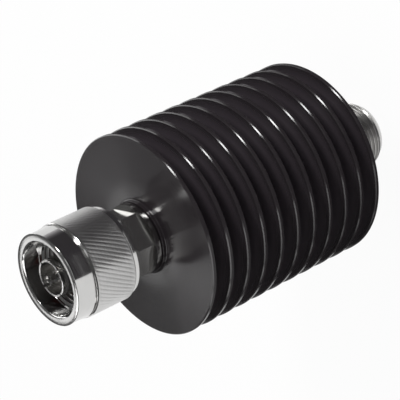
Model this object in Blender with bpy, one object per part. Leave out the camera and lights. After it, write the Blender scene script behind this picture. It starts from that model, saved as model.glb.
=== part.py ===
# Inline coaxial attenuator: a finned heat sink between a coupling-nut plug and a threaded jack.
# It stands on the jack's end. +Z runs along the axis to the plug's mouth, and a hexagon corner
# of each connector lies on +X.

from math import asin, ceil, cos, pi, radians, sin, sqrt

import bmesh
import bpy
from mathutils import Matrix, Vector

MM = 0.001

# Clearance between neighbouring pieces, and the overshoot of a cutter past a face
GAP = 0.3 * MM
OVERCUT = 1.0 * MM

# Facets around a turned piece
SINK_FACETS = 54
NUT_FACETS = 48
BODY_FACETS = 36
SMALL_FACETS = 18

# Heat sink
FIN_COUNT = 11
FIN_PITCH = 4.7 * MM
FIN_THICKNESS = 1.0 * MM
FIN_RADIUS = 22.2 * MM
CORE_RADIUS = 12.5 * MM
SINK_BORE_RADIUS = 6.8 * MM
HUB_LEDGE = 0.25 * MM
HUB_HEIGHT = 0.8 * MM

# Both connector bodies seat in the heat sink's bore
SPIGOT_LENGTH = 7.5 * MM
LINE_BORE_RADIUS = 3.5 * MM
CONTACT_RADIUS = 1.52 * MM

# O-rings in the spigots
O_RING_THICKNESS = 0.9 * MM
O_RING_OFFSET = 0.9 * MM
O_RING_FACETS = 6

# Jack: bore, barrel, hexagon and collar
JACK_BORE_RADIUS = 4.05 * MM
JACK_BORE_DEPTH = 9.1 * MM
JACK_NOSE_RADIUS = 6.6 * MM
JACK_NOSE_LENGTH = 2.2 * MM
THREAD_RADIUS = 7.94 * MM
JACK_BARREL_LENGTH = 10.7 * MM
RUNOUT_WIDTH = 0.9 * MM
RUNOUT_DEPTH = 0.7 * MM
JACK_BAR_RADIUS = 8.5 * MM
JACK_HEX_ACROSS = 16.0 * MM
JACK_CHAMFER_DEPTH = 1.1 * MM
JACK_CHAMFER_LENGTH = 1.3 * MM
JACK_HEX_LENGTH = 4.0 * MM
JACK_COLLAR_LENGTH = 1.8 * MM

# Jack: bead, its retainer and the centre socket
JACK_POCKET_RADIUS = 4.4 * MM
JACK_POCKET_FLOOR = 12.0 * MM
JACK_BEAD_RIM_THICKNESS = 2.7 * MM
SOCKET_TIP_HEIGHT = 4.35 * MM
SOCKET_BORE_RADIUS = 0.83 * MM
SOCKET_BORE_DEPTH = 6.0 * MM
SOCKET_SLIT_DEPTH = 4.0 * MM
SOCKET_SLIT_WIDTH = 0.3 * MM
SOCKET_SLIT_TURN = 45.0

# Plug: collar, hexagon and neck
PLUG_BAR_RADIUS = 7.75 * MM
PLUG_COLLAR_LENGTH = 1.45 * MM
PLUG_HEX_ACROSS = 13.0 * MM
PLUG_HEX_LENGTH = 4.55 * MM
PLUG_CHAMFER_DEPTH = 0.65 * MM
PLUG_CHAMFER_LENGTH = 1.0 * MM
NECK_RADIUS = 7.0 * MM
NECK_LENGTH = 6.8 * MM

# Plug: outer contact tube, its seat in the neck, and the gasket around it
TUBE_RADIUS = 4.0 * MM
TUBE_REACH = 9.7 * MM
TUBE_SLOT_COUNT = 4
TUBE_SLOT_WIDTH = 0.5 * MM
TUBE_SLOT_DEPTH = 5.5 * MM
TUBE_SLOT_TURN = 62.5
TUBE_SEAT_RADIUS = 5.5 * MM
TUBE_SEAT_DEPTH = 2.3 * MM
GASKET_RADIUS = 7.0 * MM
GASKET_THICKNESS = 0.8 * MM

# Plug: bead and centre pin
PLUG_BEAD_SEAT_RADIUS = 4.7 * MM
PLUG_BEAD_RIM_THICKNESS = 1.5 * MM
PLUG_BEAD_NOSE = 4.8 * MM
PLUG_BEAD_TAIL = 7.4 * MM
PIN_TIP_RADIUS = 0.8 * MM
PIN_TIP_RECESS = 2.7 * MM
PIN_SHOULDER_RECESS = 5.3 * MM
PIN_SHOULDER_CHAMFER = 0.4 * MM

# Coupling nut, from its lip to its rear face
NUT_LENGTH = 15.6 * MM
NUT_CLEARANCE_BEHIND = 1.7 * MM
LIP_RADIUS = 9.95 * MM
LIP_EDGE = 0.35 * MM
MOUTH_RADIUS = 8.12 * MM
MOUTH_DEPTH = 4.0 * MM
WAIST_RADIUS = 9.85 * MM
WAIST_DEPTH = 2.8 * MM
BAND_RADIUS = 10.05 * MM
BAND_LENGTH = 4.2 * MM
BAND_GROOVE_WIDTH = 0.5 * MM
BAND_GROOVE_DEPTH = 0.3 * MM
KNURL_RADIUS = 10.27 * MM
KNURL_EDGE = 0.3 * MM
NUT_REAR_RADIUS = 9.6 * MM
NUT_BEVEL_LENGTH = 1.1 * MM
NUT_THREAD_RADIUS = 7.4 * MM
NUT_UNDERCUT_RADIUS = 8.0 * MM

# Snap ring between the neck and the nut
SNAP_RING_THICKNESS = 0.7 * MM
SNAP_RING_DEPTH = 1.15 * MM
SNAP_RING_HEIGHT = 1.35 * MM
SNAP_GROOVE_DEPTH = 0.8 * MM
SNAP_RING_OPENING = 1.6 * MM
SNAP_RING_TURN = 15.0

# Attenuator card, its terminals and the rear heads of the centre contacts
CARD_WIDTH = 8.0 * MM
CARD_THICKNESS = 0.8 * MM
TERMINAL_THICKNESS = 0.25 * MM
TERMINAL_WIDTH = 3.0 * MM
TERMINAL_LENGTH = 2.2 * MM
HEAD_RADIUS = 2.4 * MM
HEAD_LENGTH = 3.5 * MM
HEAD_WEB = 0.5 * MM
HEAD_REACH = 2.9 * MM

# Carriers around the card, and the dowels that locate them
CHANNEL_WIDTH = 7.0 * MM
CHANNEL_DEPTH = 2.9 * MM
DOWEL_RADIUS = 0.4 * MM
DOWEL_LENGTH = 3.4 * MM
DOWEL_OFFSET = 5.4 * MM
DOWEL_INSET = 6.0 * MM

# Sizes and heights that follow from those above
SPIGOT_RADIUS = SINK_BORE_RADIUS - GAP
JACK_HUB_RADIUS = JACK_BAR_RADIUS + HUB_LEDGE
PLUG_HUB_RADIUS = PLUG_BAR_RADIUS + HUB_LEDGE
SINK_HEIGHT = (FIN_COUNT - 1) * FIN_PITCH + FIN_THICKNESS
JACK_SEAT = JACK_BARREL_LENGTH + JACK_HEX_LENGTH + JACK_COLLAR_LENGTH
SINK_BASE = JACK_SEAT + GAP + HUB_HEIGHT
PLUG_SEAT = SINK_BASE + SINK_HEIGHT + HUB_HEIGHT + GAP
NECK_BASE = PLUG_COLLAR_LENGTH + PLUG_HEX_LENGTH
NECK_FACE = NECK_BASE + NECK_LENGTH
TUBE_TIP = NECK_FACE + TUBE_REACH
TUBE_SEAT = NECK_FACE - TUBE_SEAT_DEPTH
PLUG_BEAD_SEAT = TUBE_SEAT - PLUG_BEAD_RIM_THICKNESS - GAP
NUT_BASE = NECK_BASE + NUT_CLEARANCE_BEHIND
SNAP_RING_BASE = NUT_BASE + SNAP_RING_HEIGHT
CARRIER_BASE = JACK_SEAT + SPIGOT_LENGTH + GAP
CARRIER_LENGTH = PLUG_SEAT - SPIGOT_LENGTH - GAP - CARRIER_BASE
HEAD_SLOT_HALF = CARD_THICKNESS / 2 + GAP + TERMINAL_THICKNESS + GAP
HEAD_SLOT_DEPTH = HEAD_LENGTH - HEAD_WEB
CARD_INSET = HEAD_REACH - HEAD_SLOT_DEPTH + GAP + TERMINAL_THICKNESS + GAP


def clear_scene():
    for thing in list(bpy.data.objects):
        bpy.data.objects.remove(thing, do_unlink=True)


def finish(name, colour, roughness, metallic):
    material = bpy.data.materials.new(name)
    material.use_nodes = True
    shader = material.node_tree.nodes["Principled BSDF"]
    shader.inputs["Base Color"].default_value = (*colour, 1.0)
    shader.inputs["Roughness"].default_value = roughness
    shader.inputs["Metallic"].default_value = metallic
    return material


def add_object(name, mesh_data, base, parent, material=None):
    bmesh.ops.recalc_face_normals(mesh_data, faces=mesh_data.faces[:])
    mesh = bpy.data.meshes.new(name)
    mesh_data.to_mesh(mesh)
    mesh_data.free()
    mesh.shade_smooth()
    mesh.set_sharp_from_angle(angle=radians(30))
    thing = bpy.data.objects.new(name, mesh)
    thing.location = (0.0, 0.0, base)
    thing.parent = parent
    bpy.context.collection.objects.link(thing)
    if material:
        mesh.materials.append(material)
    return thing


def add_frame(name, height):
    frame = bpy.data.objects.new(name, None)
    frame.location = (0.0, 0.0, height)
    bpy.context.collection.objects.link(frame)
    return frame


def spun(outline, facets):
    """Turn an outline of (radius, height) points about Z. One that ends on the axis stays open."""
    shape = bmesh.new()
    corners = [shape.verts.new((radius, 0.0, height)) for radius, height in outline]
    on_axis = outline[0][0] == 0.0 and outline[-1][0] == 0.0
    pairs = zip(corners, corners[1:] + corners[:1])
    edges = [shape.edges.new(pair) for pair in pairs]
    if on_axis:
        shape.edges.remove(edges.pop())
    bmesh.ops.spin(
        shape, geom=corners + edges, cent=(0, 0, 0), axis=(0, 0, 1), dvec=(0, 0, 0),
        angle=2 * pi, steps=facets, use_merge=True, use_duplicate=False,
    )
    bmesh.ops.remove_doubles(shape, verts=shape.verts[:], dist=1e-7)
    return shape


def turned(name, outline, facets, base, parent, material):
    return add_object(name, spun(outline, facets), base, parent, material)


def extruded(outline, depth, axis):
    """Extrude an outline of points, given in 3D, along an axis."""
    shape = bmesh.new()
    face = shape.faces.new([shape.verts.new(point) for point in outline])
    grown = bmesh.ops.extrude_face_region(shape, geom=[face])
    moved = [part for part in grown["geom"] if isinstance(part, bmesh.types.BMVert)]
    bmesh.ops.translate(shape, verts=moved, vec=Vector(axis) * depth)
    return shape


def box(centre, size, turn=0.0):
    shape = bmesh.new()
    bmesh.ops.create_cube(shape, size=1.0)
    bmesh.ops.scale(shape, verts=shape.verts[:], vec=size)
    bmesh.ops.translate(shape, verts=shape.verts[:], vec=centre)
    bmesh.ops.rotate(shape, verts=shape.verts[:], matrix=Matrix.Rotation(turn, 3, "Z"))
    return shape


def cut(target, name, shape, base, parent):
    cutter = add_object(name, shape, base, parent)
    cutter.hide_render = True
    cutter.display_type = "WIRE"
    modifier = target.modifiers.new(name, "BOOLEAN")
    modifier.operation = "DIFFERENCE"
    modifier.solver = "EXACT"
    modifier.object = cutter


def hexagon_sleeve(across, low, high):
    """A ring with a hexagonal hole, which mills six flats with corners on the X axis."""
    outer = 2 * JACK_BAR_RADIUS
    rings = []
    shape = bmesh.new()
    for height in (low, high):
        for radius in (across / sqrt(3), outer):
            turns = [radians(60 * side) for side in range(6)]
            rings.append([shape.verts.new((radius * cos(a), radius * sin(a), height)) for a in turns])
    inner_low, outer_low, inner_high, outer_high = rings
    for first, second in (
        (inner_low, outer_low), (outer_low, outer_high), (outer_high, inner_high), (inner_high, inner_low),
    ):
        for side in range(6):
            after = (side + 1) % 6
            shape.faces.new((first[side], first[after], second[after], second[side]))
    return shape


def arc(radius, start, end, step):
    """Points on a circle about Z from one angle to another, both included."""
    count = max(1, ceil(abs(end - start) / step))
    angles = [start + (end - start) * place / count for place in range(count + 1)]
    return [(radius * cos(angle), radius * sin(angle)) for angle in angles]


def spigot_outline(length):
    """Spigot outline from its tip up to the collar, with the O-ring groove near the collar."""
    groove_radius = SPIGOT_RADIUS - O_RING_THICKNESS - GAP
    groove_top = length - O_RING_OFFSET
    groove_foot = groove_top - O_RING_THICKNESS - 2 * GAP
    return [
        (SPIGOT_RADIUS, 0.0),
        (SPIGOT_RADIUS, groove_foot),
        (groove_radius, groove_foot),
        (groove_radius, groove_top),
        (SPIGOT_RADIUS, groove_top),
        (SPIGOT_RADIUS, length),
    ]


def o_ring_outline(centre_height):
    centre_radius = SPIGOT_RADIUS - O_RING_THICKNESS / 2
    turns = [2 * pi * side / O_RING_FACETS for side in range(O_RING_FACETS)]
    return [
        (centre_radius + O_RING_THICKNESS / 2 * cos(a), centre_height + O_RING_THICKNESS / 2 * sin(a))
        for a in turns
    ]


def o_ring_depth():
    """How far the O-ring's centre lies from the collar's seat."""
    return O_RING_OFFSET + GAP + O_RING_THICKNESS / 2


def make_heat_sink(material):
    sink = add_frame("sink_axis", SINK_BASE)
    outline = [(SINK_BORE_RADIUS, -HUB_HEIGHT), (JACK_HUB_RADIUS, -HUB_HEIGHT), (JACK_HUB_RADIUS, 0.0)]
    for fin in range(FIN_COUNT):
        foot = fin * FIN_PITCH
        if fin > 0:
            outline.append((CORE_RADIUS, foot))
        outline.append((FIN_RADIUS, foot))
        outline.append((FIN_RADIUS, foot + FIN_THICKNESS))
        if fin < FIN_COUNT - 1:
            outline.append((CORE_RADIUS, foot + FIN_THICKNESS))
    outline.append((PLUG_HUB_RADIUS, SINK_HEIGHT))
    outline.append((PLUG_HUB_RADIUS, SINK_HEIGHT + HUB_HEIGHT))
    outline.append((SINK_BORE_RADIUS, SINK_HEIGHT + HUB_HEIGHT))
    turned("heat_sink", outline, SINK_FACETS, 0.0, sink, material)


def make_jack_body(jack, material):
    runout = JACK_BARREL_LENGTH - RUNOUT_WIDTH
    hex_top = JACK_BARREL_LENGTH + JACK_HEX_LENGTH
    outline = [
        (JACK_BORE_RADIUS, 0.0),
        (JACK_NOSE_RADIUS, 0.0),
        (THREAD_RADIUS, JACK_NOSE_LENGTH),
        (THREAD_RADIUS, runout),
        (THREAD_RADIUS - RUNOUT_DEPTH, runout),
        (THREAD_RADIUS - RUNOUT_DEPTH, JACK_BARREL_LENGTH),
        (JACK_BAR_RADIUS - JACK_CHAMFER_DEPTH, JACK_BARREL_LENGTH),
        (JACK_BAR_RADIUS, JACK_BARREL_LENGTH + JACK_CHAMFER_LENGTH),
        (JACK_BAR_RADIUS, JACK_SEAT),
    ]
    tip = JACK_SEAT + SPIGOT_LENGTH
    outline += [(radius, tip - height) for radius, height in reversed(spigot_outline(SPIGOT_LENGTH))]
    outline += [
        (JACK_POCKET_RADIUS, tip),
        (JACK_POCKET_RADIUS, JACK_POCKET_FLOOR),
        (LINE_BORE_RADIUS, JACK_POCKET_FLOOR),
        (LINE_BORE_RADIUS, JACK_BORE_DEPTH),
        (JACK_BORE_RADIUS, JACK_BORE_DEPTH),
    ]
    body = turned("jack_body", outline, BODY_FACETS, 0.0, jack, material)
    flats = hexagon_sleeve(JACK_HEX_ACROSS, JACK_BARREL_LENGTH - RUNOUT_WIDTH / 2, hex_top)
    cut(body, "jack_hex_cutter", flats, 0.0, jack)


def make_jack_bead(jack, material):
    rim_foot = JACK_POCKET_FLOOR + GAP
    rim_top = rim_foot + JACK_BEAD_RIM_THICKNESS
    outline = [
        (CONTACT_RADIUS + GAP, JACK_BORE_DEPTH + GAP),
        (LINE_BORE_RADIUS - GAP, JACK_BORE_DEPTH + GAP),
        (LINE_BORE_RADIUS - GAP, rim_foot),
        (JACK_POCKET_RADIUS - GAP, rim_foot),
        (JACK_POCKET_RADIUS - GAP, rim_top),
        (CONTACT_RADIUS + GAP, rim_top),
    ]
    turned("jack_insulator", outline, BODY_FACETS, 0.0, jack, material)
    return rim_top


def make_jack_retainer(jack, rim_top, material):
    low = rim_top + GAP
    high = JACK_SEAT + SPIGOT_LENGTH - GAP
    outline = [
        (LINE_BORE_RADIUS, low),
        (JACK_POCKET_RADIUS - GAP, low),
        (JACK_POCKET_RADIUS - GAP, high),
        (LINE_BORE_RADIUS, high),
    ]
    turned("jack_bead_retainer", outline, BODY_FACETS, 0.0, jack, material)


def head_slot(card_end, floor):
    """A slot across a contact's head, open towards the card and past the head's sides."""
    size = (4 * HEAD_RADIUS, 2 * HEAD_SLOT_HALF, abs(card_end - floor))
    return box((0.0, 0.0, (card_end + floor) / 2), size)


def make_jack_socket(jack, material):
    head_end = CARRIER_BASE + HEAD_REACH
    head_foot = head_end - HEAD_LENGTH
    bore_floor = SOCKET_TIP_HEIGHT + SOCKET_BORE_DEPTH
    outline = [
        (0.0, head_end),
        (HEAD_RADIUS, head_end),
        (HEAD_RADIUS, head_foot),
        (CONTACT_RADIUS, head_foot),
        (CONTACT_RADIUS, SOCKET_TIP_HEIGHT),
        (SOCKET_BORE_RADIUS, SOCKET_TIP_HEIGHT),
        (SOCKET_BORE_RADIUS, bore_floor),
        (0.0, bore_floor),
    ]
    socket = turned("jack_centre_socket", outline, SMALL_FACETS, 0.0, jack, material)
    cut(socket, "jack_head_slot", head_slot(head_end + OVERCUT, head_end - HEAD_SLOT_DEPTH), 0.0, jack)
    slit_height = SOCKET_SLIT_DEPTH + OVERCUT
    slit_centre = SOCKET_TIP_HEIGHT + SOCKET_SLIT_DEPTH / 2 - OVERCUT / 2
    for index in range(2):
        size = (4 * CONTACT_RADIUS, SOCKET_SLIT_WIDTH, slit_height)
        slit = box((0.0, 0.0, slit_centre), size, radians(SOCKET_SLIT_TURN + 90 * index))
        cut(socket, f"socket_slit_{index + 1}", slit, 0.0, jack)


def make_plug_body(plug, material):
    groove_foot = SNAP_RING_BASE - GAP
    groove_top = SNAP_RING_BASE + SNAP_RING_THICKNESS + GAP
    hex_shoulder = NECK_BASE - PLUG_CHAMFER_LENGTH
    outline = [(radius, height - SPIGOT_LENGTH) for radius, height in spigot_outline(SPIGOT_LENGTH)]
    outline += [
        (PLUG_BAR_RADIUS, 0.0),
        (PLUG_BAR_RADIUS, hex_shoulder),
        (PLUG_BAR_RADIUS - PLUG_CHAMFER_DEPTH, NECK_BASE),
        (NECK_RADIUS, NECK_BASE),
        (NECK_RADIUS, groove_foot),
        (NECK_RADIUS - SNAP_GROOVE_DEPTH, groove_foot),
        (NECK_RADIUS - SNAP_GROOVE_DEPTH, groove_top),
        (NECK_RADIUS, groove_top),
        (NECK_RADIUS, NECK_FACE),
        (TUBE_SEAT_RADIUS, NECK_FACE),
        (TUBE_SEAT_RADIUS, TUBE_SEAT),
        (PLUG_BEAD_SEAT_RADIUS, TUBE_SEAT),
        (PLUG_BEAD_SEAT_RADIUS, PLUG_BEAD_SEAT),
        (LINE_BORE_RADIUS, PLUG_BEAD_SEAT),
        (LINE_BORE_RADIUS, -SPIGOT_LENGTH),
    ]
    body = turned("plug_body", outline, BODY_FACETS, 0.0, plug, material)
    flats = hexagon_sleeve(PLUG_HEX_ACROSS, PLUG_COLLAR_LENGTH, NECK_BASE + OVERCUT / 4)
    cut(body, "plug_hex_cutter", flats, 0.0, plug)


def make_outer_contact(plug, material):
    outline = [
        (LINE_BORE_RADIUS, TUBE_SEAT + GAP),
        (TUBE_SEAT_RADIUS - GAP, TUBE_SEAT + GAP),
        (TUBE_SEAT_RADIUS - GAP, NECK_FACE),
        (TUBE_RADIUS, NECK_FACE),
        (TUBE_RADIUS, TUBE_TIP),
        (LINE_BORE_RADIUS, TUBE_TIP),
    ]
    tube = turned("plug_outer_contact", outline, BODY_FACETS, 0.0, plug, material)
    slot_centre = TUBE_TIP - TUBE_SLOT_DEPTH / 2 + OVERCUT / 2
    for index in range(TUBE_SLOT_COUNT):
        turn = radians(TUBE_SLOT_TURN + 360 / TUBE_SLOT_COUNT * index)
        size = (2 * TUBE_RADIUS, TUBE_SLOT_WIDTH, TUBE_SLOT_DEPTH + OVERCUT)
        slot = box((TUBE_RADIUS, 0.0, slot_centre), size, turn)
        cut(tube, f"tube_slot_{index + 1}", slot, 0.0, plug)


def make_gasket(plug, material):
    foot = NECK_FACE + GAP
    outline = [
        (TUBE_RADIUS + GAP, foot),
        (GASKET_RADIUS, foot),
        (GASKET_RADIUS, foot + GASKET_THICKNESS),
        (TUBE_RADIUS + GAP, foot + GASKET_THICKNESS),
    ]
    turned("plug_gasket", outline, BODY_FACETS, 0.0, plug, material)


def make_plug_bead(plug, material):
    rim_foot = PLUG_BEAD_SEAT + GAP
    rim_top = rim_foot + PLUG_BEAD_RIM_THICKNESS
    sleeve = LINE_BORE_RADIUS - GAP
    outline = [
        (CONTACT_RADIUS + GAP, rim_foot - PLUG_BEAD_TAIL),
        (sleeve, rim_foot - PLUG_BEAD_TAIL),
        (sleeve, rim_foot),
        (PLUG_BEAD_SEAT_RADIUS - GAP, rim_foot),
        (PLUG_BEAD_SEAT_RADIUS - GAP, rim_top),
        (sleeve, rim_top),
        (sleeve, rim_top + PLUG_BEAD_NOSE),
        (CONTACT_RADIUS + GAP, rim_top + PLUG_BEAD_NOSE),
    ]
    turned("plug_insulator", outline, BODY_FACETS, 0.0, plug, material)


def make_centre_pin(plug, material):
    tip = TUBE_TIP - PIN_TIP_RECESS
    shoulder = TUBE_TIP - PIN_SHOULDER_RECESS
    head_end = -SPIGOT_LENGTH - GAP - HEAD_REACH
    head_top = head_end + HEAD_LENGTH
    rounds = [radians(turn) for turn in (0, 30, 60)]
    nose = [(PIN_TIP_RADIUS * cos(a), tip - PIN_TIP_RADIUS * (1 - sin(a))) for a in rounds]
    outline = [
        (0.0, head_end),
        (HEAD_RADIUS, head_end),
        (HEAD_RADIUS, head_top),
        (CONTACT_RADIUS, head_top),
        (CONTACT_RADIUS, shoulder - PIN_SHOULDER_CHAMFER),
        (CONTACT_RADIUS - PIN_SHOULDER_CHAMFER, shoulder),
        (PIN_TIP_RADIUS, shoulder),
        *nose,
        (0.0, tip),
    ]
    pin = turned("plug_centre_pin", outline, SMALL_FACETS, 0.0, plug, material)
    cut(pin, "plug_head_slot", head_slot(head_end - OVERCUT, head_end + HEAD_SLOT_DEPTH), 0.0, plug)


def make_coupling_nut(plug, material):
    groove_radius = NECK_RADIUS - SNAP_GROOVE_DEPTH + GAP + SNAP_RING_DEPTH + GAP
    groove_foot = SNAP_RING_BASE - NUT_BASE - GAP
    groove_top = groove_foot + SNAP_RING_THICKNESS + 2 * GAP
    band_foot = NUT_LENGTH - BAND_LENGTH
    knurl_top = band_foot - BAND_GROOVE_WIDTH
    neck_face = NECK_FACE - NUT_BASE
    undercut_top = neck_face + GAP + GASKET_THICKNESS + GAP
    bore = NECK_RADIUS + GAP
    outline = [
        (bore, 0.0),
        (NUT_REAR_RADIUS, 0.0),
        (KNURL_RADIUS, NUT_BEVEL_LENGTH),
        (KNURL_RADIUS, knurl_top - KNURL_EDGE),
        (KNURL_RADIUS - KNURL_EDGE, knurl_top),
        (BAND_RADIUS - BAND_GROOVE_DEPTH, knurl_top),
        (BAND_RADIUS - BAND_GROOVE_DEPTH, band_foot),
        (BAND_RADIUS, band_foot),
        (WAIST_RADIUS, NUT_LENGTH - WAIST_DEPTH),
        (LIP_RADIUS, NUT_LENGTH - LIP_EDGE),
        (LIP_RADIUS - LIP_EDGE, NUT_LENGTH),
        (MOUTH_RADIUS, NUT_LENGTH),
        (MOUTH_RADIUS, NUT_LENGTH - MOUTH_DEPTH),
        (NUT_THREAD_RADIUS, NUT_LENGTH - MOUTH_DEPTH),
        (NUT_THREAD_RADIUS, undercut_top),
        (NUT_UNDERCUT_RADIUS, undercut_top),
        (NUT_UNDERCUT_RADIUS, neck_face - GAP),
        (bore, neck_face - GAP),
        (bore, groove_top),
        (groove_radius, groove_top),
        (groove_radius, groove_foot),
        (bore, groove_foot),
    ]
    turned("coupling_nut", outline, NUT_FACETS, NUT_BASE, plug, material)


def make_snap_ring(plug, material):
    inner = NECK_RADIUS - SNAP_GROOVE_DEPTH + GAP
    outer = inner + SNAP_RING_DEPTH
    outline = [(inner, 0.0), (outer, 0.0), (outer, SNAP_RING_THICKNESS), (inner, SNAP_RING_THICKNESS)]
    ring = turned("nut_snap_ring", outline, BODY_FACETS, SNAP_RING_BASE, plug, material)
    size = (2 * outer, SNAP_RING_OPENING, 3 * SNAP_RING_THICKNESS)
    opening = box((1.5 * outer, 0.0, SNAP_RING_THICKNESS / 2), size, radians(SNAP_RING_TURN))
    cut(ring, "snap_ring_opening", opening, SNAP_RING_BASE, plug)


def carrier_outline(side):
    """Half a round bar with a stepped recess for the card's edges and a channel for the line."""
    radius = SPIGOT_RADIUS
    split = GAP / 2
    seat = CARD_THICKNESS / 2 + GAP
    edge = CARD_WIDTH / 2 + GAP
    channel = CHANNEL_WIDTH / 2
    start = asin(split / radius)
    rim = arc(radius, start, pi - start, 2 * pi / BODY_FACETS)
    inside = [
        (-edge, split), (-edge, seat), (-channel, seat), (-channel, CHANNEL_DEPTH),
        (channel, CHANNEL_DEPTH), (channel, seat), (edge, seat), (edge, split),
    ]
    return [(x, side * y, 0.0) for x, y in rim + inside]


def dowel_places():
    """Where the two dowels stand: across the split, near opposite corners of the carriers."""
    low = (-DOWEL_OFFSET, DOWEL_INSET)
    high = (DOWEL_OFFSET, CARRIER_LENGTH - DOWEL_INSET)
    return (("carrier_dowel_jack_end", low), ("carrier_dowel_plug_end", high))


def dowel_shape(radius, length, place):
    shape = bmesh.new()
    bmesh.ops.create_cone(
        shape, cap_ends=True, segments=SMALL_FACETS // 2, radius1=radius, radius2=radius, depth=length,
    )
    bmesh.ops.rotate(shape, verts=shape.verts[:], matrix=Matrix.Rotation(pi / 2, 3, "X"))
    bmesh.ops.translate(shape, verts=shape.verts[:], vec=(place[0], 0.0, place[1]))
    return shape


def make_carriers(cell, material, dowel_material):
    for name, side in (("carrier_half_back", 1), ("carrier_half_front", -1)):
        shape = extruded(carrier_outline(side), CARRIER_LENGTH, (0, 0, 1))
        half = add_object(name, shape, 0.0, cell, material)
        for dowel, place in dowel_places():
            hole = dowel_shape(DOWEL_RADIUS + GAP, DOWEL_LENGTH + 2 * GAP, place)
            cut(half, f"{name}_{dowel}_hole", hole, 0.0, cell)
    for dowel, place in dowel_places():
        add_object(dowel, dowel_shape(DOWEL_RADIUS, DOWEL_LENGTH, place), 0.0, cell, dowel_material)


def make_card(cell, material, terminal_material):
    low = CARD_INSET
    high = CARRIER_LENGTH - CARD_INSET
    card = box((0.0, 0.0, (low + high) / 2), (CARD_WIDTH, CARD_THICKNESS, high - low))
    add_object("attenuator_card", card, 0.0, cell, material)
    inner = CARD_THICKNESS / 2 + GAP
    outer = inner + TERMINAL_THICKNESS
    for name, end, inward in (
        ("card_terminal_jack_end", low, 1), ("card_terminal_plug_end", high, -1),
    ):
        web = end - inward * GAP
        tip = web + inward * TERMINAL_LENGTH
        back = web - inward * TERMINAL_THICKNESS
        profile = [
            (-outer, tip), (-outer, back), (outer, back), (outer, tip),
            (inner, tip), (inner, web), (-inner, web), (-inner, tip),
        ]
        outline = [(-TERMINAL_WIDTH / 2, y, z) for y, z in profile]
        clip = extruded(outline, TERMINAL_WIDTH, (1, 0, 0))
        add_object(name, clip, 0.0, cell, terminal_material)


def build():
    clear_scene()
    anodised = finish("black_anodised_aluminium", (0.018, 0.017, 0.018), 0.38, 0.6)
    nickel = finish("nickel_plated_brass", (0.52, 0.51, 0.49), 0.24, 1.0)
    nut_nickel = finish("bright_nickel", (0.60, 0.60, 0.60), 0.20, 1.0)
    silver = finish("silver_plated_bronze", (0.62, 0.61, 0.58), 0.25, 1.0)
    spring_steel = finish("spring_steel", (0.40, 0.40, 0.41), 0.35, 1.0)
    plastic = finish("white_fluoropolymer", (0.82, 0.82, 0.80), 0.45, 0.0)
    rubber = finish("black_rubber", (0.02, 0.02, 0.02), 0.60, 0.0)
    silicone = finish("silicone_rubber", (0.35, 0.10, 0.06), 0.55, 0.0)
    aluminium = finish("bare_aluminium", (0.62, 0.63, 0.65), 0.35, 1.0)
    ceramic = finish("alumina_ceramic", (0.80, 0.79, 0.74), 0.50, 0.0)

    jack = add_frame("jack_axis", 0.0)
    plug = add_frame("plug_axis", PLUG_SEAT)
    cell = add_frame("card_axis", CARRIER_BASE)

    make_heat_sink(anodised)

    make_jack_body(jack, nickel)
    rim_top = make_jack_bead(jack, plastic)
    make_jack_retainer(jack, rim_top, nickel)
    make_jack_socket(jack, silver)
    jack_ring = o_ring_outline(JACK_SEAT + o_ring_depth())
    turned("jack_o_ring", jack_ring, BODY_FACETS, 0.0, jack, rubber)

    make_plug_body(plug, nickel)
    make_outer_contact(plug, silver)
    make_gasket(plug, silicone)
    make_plug_bead(plug, plastic)
    make_centre_pin(plug, silver)
    make_coupling_nut(plug, nut_nickel)
    make_snap_ring(plug, spring_steel)
    turned("plug_o_ring", o_ring_outline(-o_ring_depth()), BODY_FACETS, 0.0, plug, rubber)

    make_carriers(cell, aluminium, spring_steel)
    make_card(cell, ceramic, silver)
    bpy.context.view_layer.update()


build()
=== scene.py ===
import math

import bmesh
import bpy
from mathutils import Matrix, Vector


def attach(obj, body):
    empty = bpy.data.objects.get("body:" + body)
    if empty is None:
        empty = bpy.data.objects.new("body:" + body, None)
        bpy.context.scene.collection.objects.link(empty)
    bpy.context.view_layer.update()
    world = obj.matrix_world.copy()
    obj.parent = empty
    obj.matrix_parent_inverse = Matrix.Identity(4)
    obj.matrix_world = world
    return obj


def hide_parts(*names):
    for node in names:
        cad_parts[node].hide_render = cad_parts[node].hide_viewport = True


mm = 0.001
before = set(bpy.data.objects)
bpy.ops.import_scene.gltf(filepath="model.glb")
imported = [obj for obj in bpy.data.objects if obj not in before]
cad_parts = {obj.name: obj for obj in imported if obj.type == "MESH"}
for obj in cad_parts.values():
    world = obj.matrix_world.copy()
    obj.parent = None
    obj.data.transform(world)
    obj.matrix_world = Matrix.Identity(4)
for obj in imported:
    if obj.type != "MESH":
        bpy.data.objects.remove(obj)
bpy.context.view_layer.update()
print("frame loaded:", len(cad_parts), "nodes")


def hexColour(code):
    parts = [int(code[place:place + 2], 16) / 255 for place in (1, 3, 5)]
    linear = [part / 12.92 if part <= 0.04045 else ((part + 0.055) / 1.055) ** 2.4 for part in parts]
    return (*linear, 1.0)


# A link is a value, a socket, or a node that gives its first output
def linkNode(tree, node, links):
    for socket, value in links.items():
        value = value.outputs[0] if isinstance(value, bpy.types.Node) else value
        if isinstance(value, bpy.types.NodeSocket):
            tree.links.new(value, node.inputs[socket])
        else:
            node.inputs[socket].default_value = value


def addNode(tree, kind, settings=None, links=None):
    node = tree.nodes.new(kind)
    for name, value in (settings or {}).items():
        setattr(node, name, value)
    linkNode(tree, node, links or {})
    return node


def emptyTree(owner):
    owner.use_nodes = True
    owner.node_tree.nodes.clear()
    return owner.node_tree


def addThing(name, data):
    thing = bpy.data.objects.new(name, data)
    bpy.context.scene.collection.objects.link(thing)
    return thing


def around(radius, turn, height):
    return radius * math.cos(turn), radius * math.sin(turn), height


# Camera, floor and lamps

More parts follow.
